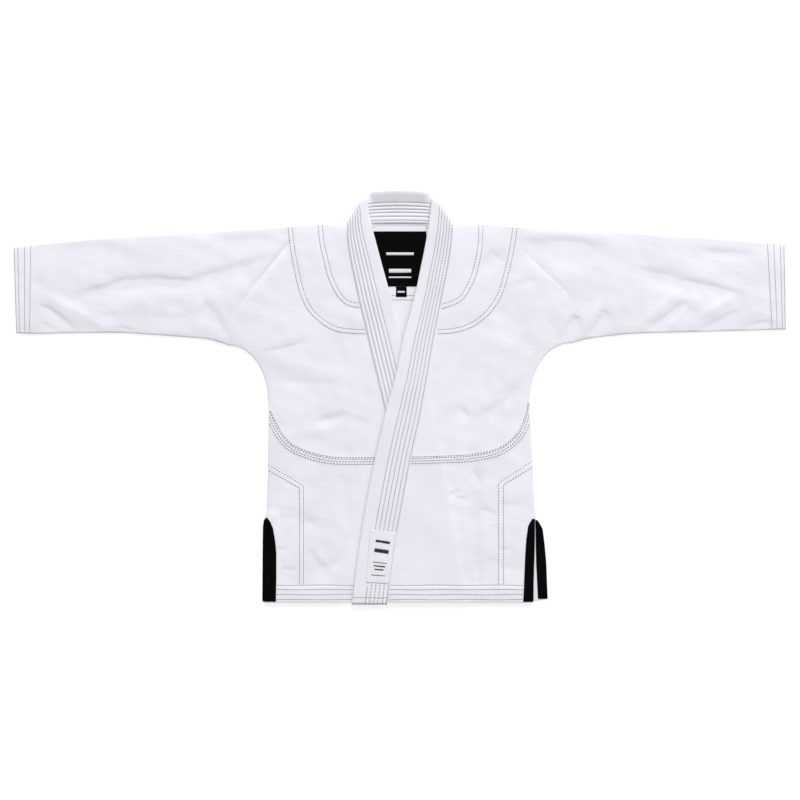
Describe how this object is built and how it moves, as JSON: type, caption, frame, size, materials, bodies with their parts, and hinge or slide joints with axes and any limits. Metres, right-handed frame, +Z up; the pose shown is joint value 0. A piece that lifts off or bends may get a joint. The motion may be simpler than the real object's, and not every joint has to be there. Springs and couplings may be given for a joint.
{
  "type": "jiu-jitsu gi jacket",
  "caption": "Youth jiu-jitsu gi jacket laid flat face up, left front crossed over right, sleeves out, thick stitched collar, dark vent tapes and inner neck label.",
  "frame": {"origin": "middle of the outline, on the surface that the jacket lies on", "axes": "+Z up out of the surface, +X towards the wearer's left cuff, +Y from the hem to the collar"},
  "size_m": [1.2, 0.645, 0.0122],
  "materials": {
    "cloth": "white pearl weave cotton, matt",
    "collar": "white ripstop cotton over a firm core, stitched in rows with dark thread",
    "tape": "near-black cotton twill tape, matt",
    "dark_label": "near-black woven label, slight sheen",
    "light_label": "white woven patch",
    "thread": "dark polyester sewing thread"
  },
  "bodies": {
    "root": {"back_upper": "cloth", "back_skirt": "cloth", "front_left_upper": "cloth", "front_left_skirt": "cloth", "front_right_upper": "cloth", "front_right_skirt": "cloth", "sleeve_left": "cloth", "sleeve_right": "cloth", "collar": "collar", "vent_tape_front_left": "tape", "vent_tape_back_left": "tape", "vent_tape_front_right": "tape", "vent_tape_back_right": "tape", "neck_label": "dark_label", "size_tab": "dark_label", "lapel_label": "light_label"}
  },
  "joints": []
}
